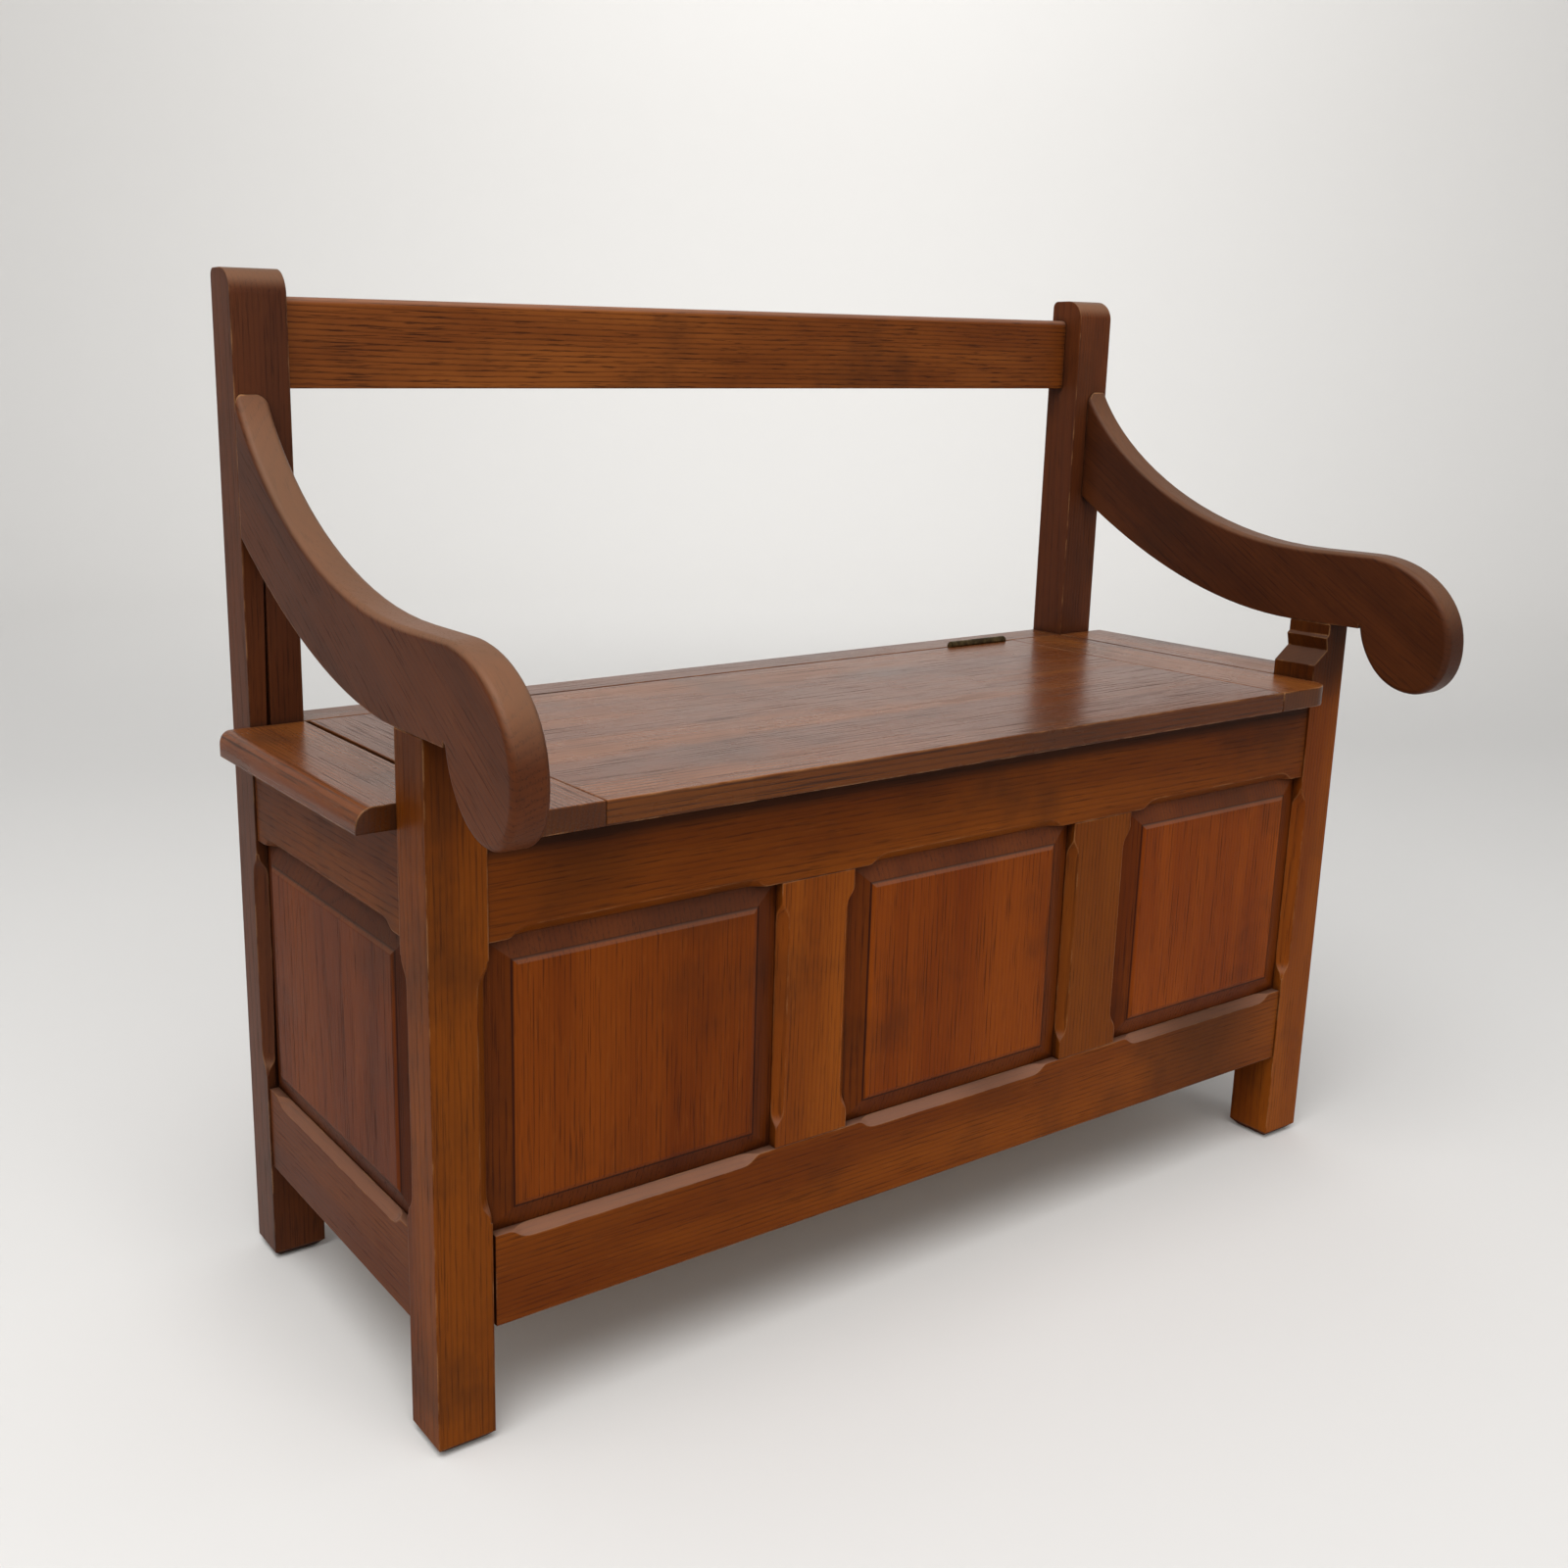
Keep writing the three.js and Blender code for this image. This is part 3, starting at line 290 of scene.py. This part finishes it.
def oakMaterial(name, kind, grain, seed):
    look = oakKinds[kind]
    material, tree = startMaterial(f"stainedOak_{name}")
    place = addNode(tree, "ShaderNodeTexCoord", {}, {})
    here = place.outputs["Object"]
    parts = addNode(tree, "ShaderNodeSeparateXYZ", {}, {"Vector": here})
    facings = addNode(tree, "ShaderNodeSeparateXYZ", {}, {"Vector": place.outputs["Normal"]})
    low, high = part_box(name)
    middle = (low + high) / 2

    # turn the grain along local X about the middle of the board, and move it into the trunk
    turned = addNode(tree, "ShaderNodeMapping", {"vector_type": "TEXTURE"},
                     {"Location": middle, "Rotation": grainTurns[grain], "Vector": here})
    offset, lean = boardInTree(seed, look["heart"])
    board = addNode(tree, "ShaderNodeMapping", {"vector_type": "POINT"},
                    {"Location": offset, "Rotation": lean, "Scale": (look["stretch"], 1.0, 1.0),
                     "Vector": turned.outputs["Vector"]})
    tone = pieceTones.get(name, 1 + toneSpread * math.sin(seed * 5.3))
    light, dark = ((*[c * tone for c in linear(look[key])[:3]], 1.0) for key in ("light", "dark"))
    figure = addNode(tree, "ShaderNodeGroup", {"node_tree": oakFigure},
                     {"Light": light, "Dark": dark, "Rings": look["rings"], "Pores": look["pores"],
                      "Rays": look["rays"], "Vector": board.outputs["Vector"]})
    colour = figure.outputs["Colour"]

    if grain in ("x", "y", "z"):
        facing = addNode(tree, "ShaderNodeMath", {"operation": "ABSOLUTE"},
                         {0: facings.outputs["xyz".index(grain)]})
        colour = layColour(tree, colour, source=facing.outputs[0], **ageAndPaintedLight["endGrain"])
    if kind == "seat":
        colour = layColour(tree, colour, source=facings.outputs["Y"], **ageAndPaintedLight["frontEdge"])
    cloud = addNode(tree, "ShaderNodeTexNoise", {"noise_dimensions": "3D"},
                    {"Scale": 7.0 + seed % 3, "Detail": 4.0, "Roughness": 0.6, "Vector": here})
    colour = layColour(tree, colour, source=cloud.outputs["Fac"], **ageAndPaintedLight["cloud"])
    # raised panels: a darker margin, with a painted shadow line at the foot of the step
    if kind == "panel" and "back" not in name:
        colour = layMargin(tree, colour, parts, name)
    # painted shadow along the top of the front rail, under the lid's overhang
    if name == "rail_front_top":
        strip = ageAndPaintedLight["shadowUnderLid"]
        colour = layColour(tree, colour, strip["over"], parts.outputs["Z"],
                           [high[2] - depth for depth in strip["depth"]], strip["strength"])
    # painted sheen: faces that look up are made paler, as if they caught the sky
    colour = layColour(tree, colour, look["paintedSheenColour"], facings.outputs["Z"],
                       ageAndPaintedLight["paintedSheen"]["span"], look["paintedSheen"] * min(tone, 1.0))
    # dark marks, and painted shade on the legs' necks under the arms
    for fromMiddle, inner, outer, strength in marksAndShade.get(name, []):
        away = addNode(tree, "ShaderNodeVectorMath", {"operation": "DISTANCE"},
                       {0: here, 1: middle + Vector(fromMiddle)})
        colour = layColour(tree, colour, ageAndPaintedLight["marksAndShade"]["over"], away.outputs["Value"],
                           (outer, inner), strength)

    # arrises: the stain is rubbed through in patches, so they show paler
    layer, patchy = ageAndPaintedLight["arris"], ageAndPaintedLight["arrisPatch"]
    flat = addNode(tree, "ShaderNodeNewGeometry", {}, {}).outputs["Normal"]
    rounded = addNode(tree, "ShaderNodeBevel", {"samples": 4}, {"Radius": layer["reach"]}).outputs["Normal"]
    facing = addNode(tree, "ShaderNodeVectorMath", {"operation": "DOT_PRODUCT"}, {0: flat, 1: rounded})
    arris = addNode(tree, "ShaderNodeMapRange", {"interpolation_type": "SMOOTHSTEP"},
                    {"Value": facing.outputs["Value"], "From Min": layer["span"][0],
                     "From Max": layer["span"][1], "To Max": look["wear"]})
    blotch = addNode(tree, "ShaderNodeTexNoise", {"noise_dimensions": "3D"},
                     {"Scale": patchy["scale"], "Detail": 3.0, "Roughness": 0.5, "Vector": here})
    patch = addNode(tree, "ShaderNodeMapRange", {"interpolation_type": "SMOOTHSTEP"},
                    {"Value": blotch.outputs["Fac"], "From Min": patchy["span"][0],
                     "From Max": patchy["span"][1]})
    worn = addNode(tree, "ShaderNodeMath", {"operation": "MULTIPLY"},
                   {0: arris.outputs["Result"], 1: patch.outputs["Result"]})
    colour = addNode(tree, "ShaderNodeMix", {"data_type": "RGBA"},
                     {0: worn.outputs[0], 6: colour, 7: linear(layer["over"])}).outputs[2]

    # corners: wax and dust have gone dark where pieces meet, and painted shade darkens the same hollows
    layer = ageAndPaintedLight["corner"]
    hollow = addNode(tree, "ShaderNodeAmbientOcclusion", {"samples": 6}, {"Distance": layer["reach"]})
    corner = addNode(tree, "ShaderNodeMapRange", {"interpolation_type": "SMOOTHSTEP"},
                     {"Value": hollow.outputs["AO"], "From Min": layer["span"][0],
                      "From Max": layer["span"][1]}).outputs["Result"]
    dirtAndShade = addNode(tree, "ShaderNodeMath", {"operation": "MULTIPLY"}, {0: corner, 1: layer["strength"]})
    colour = addNode(tree, "ShaderNodeMix", {"data_type": "RGBA"},
                     {0: dirtAndShade.outputs[0], 6: colour, 7: linear(layer["over"])}).outputs[2]

    # the varnish is duller in pores and corners, and unevenly rubbed all over
    smear = addNode(tree, "ShaderNodeTexNoise", {"noise_dimensions": "3D"},
                    {"Scale": ageAndPaintedLight["smear"]["scale"], "Detail": 4.0, "Roughness": 0.6, "Vector": here})
    uneven = addNode(tree, "ShaderNodeMath", {"operation": "MULTIPLY_ADD"},
                     {0: smear.outputs["Fac"], 1: ageAndPaintedLight["smear"]["strength"], 2: figure.outputs["Gloss"]})
    rubbed = addNode(tree, "ShaderNodeMath", {"operation": "ADD"},
                     {0: uneven.outputs[0], 1: look["rough"]})
    rough = addNode(tree, "ShaderNodeMath", {"operation": "MULTIPLY_ADD", "use_clamp": True},
                    {0: corner, 1: layer["dulling"], 2: rubbed.outputs[0]})
    bump = addNode(tree, "ShaderNodeBump", {},
                   {"Strength": oak["relief"], "Distance": look["bump"],
                    "Height": figure.outputs["Height"], "Normal": rounded})
    shader = addNode(tree, "ShaderNodeBsdfPrincipled", {},
                     {"IOR": oak["ior"], "Specular IOR Level": look["specular"],
                      "Coat Weight": look["coat"], "Coat Roughness": oak["coatRough"],
                      "Base Color": colour, "Roughness": rough.outputs[0],
                      "Normal": bump.outputs["Normal"]})
    addNode(tree, "ShaderNodeOutputMaterial", {}, {"Surface": shader.outputs["BSDF"]})
    return material


# inside wood: bare softwood boards, sawn and left unfinished, so dry and matt
pine = {
    "light": "#A98358",
    "dark": "#8A6540",
    "rings": 0.45,
    "pores": 0.20,
    "heart": (0.03, 0.11),
    "sawScale": (420.0, 8.0, 8.0),    # saw marks about 2.4 mm apart across the board
    "sawDepth": 0.5,
    "relief": 0.5,
    "bump": 0.0006,
    "rough": 0.72,
    "ior": 1.45,
}


def bareWoodMaterial(name, grain, seed):
    material, tree = startMaterial(f"barePine_{name}")
    place = addNode(tree, "ShaderNodeTexCoord", {}, {})
    turned = addNode(tree, "ShaderNodeMapping", {"vector_type": "TEXTURE"},
                     {"Rotation": grainTurns[grain], "Vector": place.outputs["Object"]})
    offset = (seed * 0.9, pine["heart"][0], pine["heart"][1] + 0.013 * seed)    # no two boards alike
    board = addNode(tree, "ShaderNodeMapping", {"vector_type": "POINT"},
                    {"Location": offset, "Vector": turned.outputs["Vector"]})
    figure = addNode(tree, "ShaderNodeGroup", {"node_tree": oakFigure},
                     {"Light": linear(pine["light"]), "Dark": linear(pine["dark"]), "Rings": pine["rings"],
                      "Pores": pine["pores"], "Rays": 0.0, "Vector": board.outputs["Vector"]})
    sawn = addNode(tree, "ShaderNodeMapping", {"vector_type": "POINT"},
                   {"Scale": pine["sawScale"], "Vector": turned.outputs["Vector"]})
    saw = addNode(tree, "ShaderNodeTexNoise", {"noise_dimensions": "3D"},
                  {"Scale": 1.0, "Detail": 1.0, "Roughness": 0.5, "Vector": sawn.outputs["Vector"]})
    height = addNode(tree, "ShaderNodeMath", {"operation": "MULTIPLY_ADD"},
                     {0: saw.outputs["Fac"], 1: pine["sawDepth"], 2: figure.outputs["Height"]})
    bump = addNode(tree, "ShaderNodeBump", {},
                   {"Strength": pine["relief"], "Distance": pine["bump"], "Height": height.outputs[0]})
    rough = addNode(tree, "ShaderNodeMath", {"operation": "ADD", "use_clamp": True},
                    {0: figure.outputs["Gloss"], 1: pine["rough"]})
    shader = addNode(tree, "ShaderNodeBsdfPrincipled", {},
                     {"IOR": pine["ior"], "Base Color": figure.outputs["Colour"],
                      "Roughness": rough.outputs[0], "Normal": bump.outputs["Normal"]})
    addNode(tree, "ShaderNodeOutputMaterial", {}, {"Surface": shader.outputs["BSDF"]})
    return material


# rolled brass gone brown in patches, and plain steel screws dulled by age
metalAge = {"span": (0.38, 0.62), "relief": 0.25, "pitDepth": 0.0002}
metals = {
    "agedBrass": dict(bright="#7C6A46", dull="#483A28", smooth=0.36, matt=0.58, grit=90.0),
    "dullSteel": dict(bright="#8A857C", dull="#4A4641", smooth=0.36, matt=0.60, grit=420.0),
}


def metalMaterial(name):
    look = metals[name]
    material, tree = startMaterial(name)
    here = addNode(tree, "ShaderNodeTexCoord", {}, {}).outputs["Object"]
    patches = addNode(tree, "ShaderNodeTexNoise", {"noise_dimensions": "3D"},
                      {"Scale": look["grit"], "Detail": 4.0, "Roughness": 0.65, "Vector": here})
    stain = addNode(tree, "ShaderNodeMapRange", {"interpolation_type": "SMOOTHSTEP"},
                    {"Value": patches.outputs["Fac"], "From Min": metalAge["span"][0],
                     "From Max": metalAge["span"][1]}).outputs["Result"]
    colour = addNode(tree, "ShaderNodeMix", {"data_type": "RGBA"},
                     {0: stain, 6: linear(look["bright"]), 7: linear(look["dull"])})
    rough = addNode(tree, "ShaderNodeMapRange", {"interpolation_type": "SMOOTHSTEP"},
                    {"Value": stain, "To Min": look["smooth"], "To Max": look["matt"]})
    pitted = addNode(tree, "ShaderNodeTexNoise", {"noise_dimensions": "3D"},
                     {"Scale": look["grit"] * 4, "Detail": 2.0, "Roughness": 0.5, "Vector": here})
    bump = addNode(tree, "ShaderNodeBump", {},
                   {"Strength": metalAge["relief"], "Distance": metalAge["pitDepth"],
                    "Height": pitted.outputs["Fac"]})
    shader = addNode(tree, "ShaderNodeBsdfPrincipled", {},
                     {"Metallic": 1.0, "Base Color": colour.outputs[2],
                      "Roughness": rough.outputs["Result"], "Normal": bump.outputs["Normal"]})
    addNode(tree, "ShaderNodeOutputMaterial", {}, {"Surface": shader.outputs["BSDF"]})
    return material


agedBrass = metalMaterial("agedBrass")
dullSteel = metalMaterial("dullSteel")
print("materials ready")


# width in metres, and the least angle in degrees that counts as an edge
softEdges = {
    "oak": (0.0009, 32),       # planed arrises, softened by use
    "arm": (0.0010, 40),
    "panel": (0.0006, 7),      # the bevels of a raised panel are shallow
    "bare": (0.0005, 32),
    "hinge": (0.00025, 32),
}

meshCare = {"weldWithin": 0.00002, "flatWithin": 0.4}    # metres, degrees

# joints cut narrow faces into these, which a full-width bevel would fold over
jointed = ("post", "leg", "rail", "muntin", "arm", "seat_end")


def finishFor(name):
    # kind of wood and the way its grain runs
    if name.startswith("arm"):
        return "post", "arm"
    if name.startswith("post"):
        return "post", "z"
    if name.startswith(("leg", "muntin")):
        return "frame", "z"
    if name.startswith("panel"):
        return "panel", "z"
    if name == "crest_rail":
        return "crest", "x"
    if name.startswith(("rail_left", "rail_right")):
        return "frame", "y"
    if name.startswith("rail"):
        return "frame", "x"
    if name.startswith(("seat_end", "lid_end")):
        return "seat", "y"
    if name in ("lid_panel", "hinge_strip"):
        return "seat", "x"
    if name.startswith("floor_cleat"):
        return "bare", "x"
    return "bare", "y"


def softenEdges(piece, width, angle, clamp):
    # the mesh arrives as loose triangles: join them, clear flat faces, then round the edges
    for face in piece.data.polygons:
        face.use_smooth = True
    weld = piece.modifiers.new("weld", "WELD")
    weld.merge_threshold = meshCare["weldWithin"]
    flatten = piece.modifiers.new("flatten", "DECIMATE")
    flatten.decimate_type = "DISSOLVE"
    flatten.angle_limit = math.radians(meshCare["flatWithin"])
    bevel = piece.modifiers.new("softEdge", "BEVEL")
    bevel.width = width
    bevel.segments = 2
    bevel.limit_method = "ANGLE"
    bevel.angle_limit = math.radians(angle)
    bevel.use_clamp_overlap = clamp
    bevel.miter_outer = "MITER_ARC"
    shade = piece.modifiers.new("shade", "WEIGHTED_NORMAL")
    shade.keep_sharp = True
    shade.weight = 60


bpy.ops.object.select_all(action="DESELECT")
for seed, name in enumerate(sorted(nodes)):
    piece = nodes[name]
    if name.startswith("screw"):
        material, edge = dullSteel, None
    elif name.startswith("hinge_") and name != "hinge_strip":
        material, edge = agedBrass, softEdges["hinge"]
    else:
        kind, grain = finishFor(name)
        if kind == "bare":
            material, edge = bareWoodMaterial(name, grain, seed), softEdges["bare"]
        else:
            material = oakMaterial(name, kind, grain, seed)
            edge = softEdges[{"arm": "arm", "pan": "panel"}.get(name[:3], "oak")]
    for slot in piece.material_slots:
        slot.material = material
    if edge:
        softenEdges(piece, *edge, clamp=name.startswith(jointed))
print("pieces finished")


# a round pale floor whose edge sweeps up into a wall; metres
stage = {
    "floorRadius": 4.2,
    "drop": 0.0005,    # just under the feet
    "sweepRadius": 1.8,
    "wallHeight": 3.5,
    "sweepSteps": 12,
    "segments": 96,
    "colour": "#DDDBD8",
    "rough": 0.9,
}


def makeFloor():
    bpy.ops.object.select_all(action="DESELECT")
    bpy.ops.mesh.primitive_circle_add(vertices=stage["segments"], radius=stage["floorRadius"],
                                      fill_type="NGON", location=(0, 0, -stage["drop"]))
    floor = bpy.context.object
    floor.name = "studioFloor"
    bpy.ops.object.mode_set(mode="EDIT")
    bpy.ops.mesh.select_all(action="SELECT")
    bpy.ops.mesh.region_to_loop()
    reach, height, sweep = stage["floorRadius"], 0.0, stage["sweepRadius"]
    for step in range(1, stage["sweepSteps"] + 1):
        angle = math.radians(90 * step / stage["sweepSteps"])
        newReach = stage["floorRadius"] + sweep * math.sin(angle)
        newHeight = sweep * (1 - math.cos(angle))
        bpy.ops.mesh.extrude_edges_move(TRANSFORM_OT_translate={"value": (0, 0, newHeight - height)})
        bpy.ops.transform.resize(value=(newReach / reach, newReach / reach, 1), center_override=(0, 0, 0))
        reach, height = newReach, newHeight
    bpy.ops.mesh.extrude_edges_move(TRANSFORM_OT_translate={"value": (0, 0, stage["wallHeight"])})
    bpy.ops.object.mode_set(mode="OBJECT")
    bpy.ops.object.shade_smooth()
    material, tree = startMaterial("paintedFloor")
    shader = addNode(tree, "ShaderNodeBsdfPrincipled", {},
                     {"Base Color": linear(stage["colour"]), "Roughness": stage["rough"]})
    addNode(tree, "ShaderNodeOutputMaterial", {}, {"Surface": shader.outputs["BSDF"]})
    floor.data.materials.append(material)


def makeLight(name, place, target, size, power):
    lamp = bpy.data.lights.new(name, "AREA")
    lamp.shape = "DISK"
    lamp.size = size
    lamp.energy = power
    item = bpy.data.objects.new(name, lamp)
    item.location = place
    direction = Vector(target) - Vector(place)
    item.rotation_euler = direction.to_track_quat("-Z", "Y").to_euler()
    scene.collection.objects.link(item)


# soft discs of light: places in metres, power in watts
lights = {
    "skyLight": dict(place=(-1.3, -1.0, 3.3), target=(0, 0, 0.3), size=3.4, power=118),
    "frontFill": dict(place=(0.6, -3.6, 1.9), target=(0, 0, 0.4), size=2.4, power=22),
    "leftFill": dict(place=(-3.4, -0.6, 1.7), target=(0, 0, 0.4), size=2.2, power=9),
    "backLight": dict(place=(2.2, 2.6, 3.0), target=(3.6, 5.4, 1.4), size=2.6, power=62),
}


sky = {"colour": "#F3F6FA", "strength": 0.50}


def makeSky():
    world = bpy.data.worlds.new("softSky")
    scene.world = world
    world.use_nodes = True
    background = world.node_tree.nodes["Background"]
    background.inputs["Color"].default_value = linear(sky["colour"])
    background.inputs["Strength"].default_value = sky["strength"]


camera = {
    "place": (-0.9208, -1.0410, 0.7536),
    "turn": 33.53,     # degrees, from +Y towards +X
    "tilt": -13.4,
    "roll": 0.53,
    "lens": 37.62,     # millimetres
    "sensor": 36.0,
    "nearest": 0.02,
    "shift": (0.0851, -0.0183),
}


def makeCamera():
    lens = bpy.data.cameras.new("viewCamera")
    lens.lens = camera["lens"]
    lens.sensor_width = camera["sensor"]
    lens.shift_x, lens.shift_y = camera["shift"]
    lens.clip_start = camera["nearest"]
    item = bpy.data.objects.new("viewCamera", lens)
    upright = Matrix.Rotation(math.radians(-camera["turn"]), 4, "Z")
    level = Matrix.Rotation(math.radians(90 + camera["tilt"]), 4, "X")
    leaning = Matrix.Rotation(math.radians(camera["roll"]), 4, "Z")
    item.matrix_world = Matrix.Translation(camera["place"]) @ upright @ level @ leaning
    scene.collection.objects.link(item)
    scene.camera = item


makeFloor()
makeSky()
for name, settings in lights.items():
    makeLight(name, **settings)
makeCamera()
scene.view_settings.view_transform = "Standard"
print("stage ready")
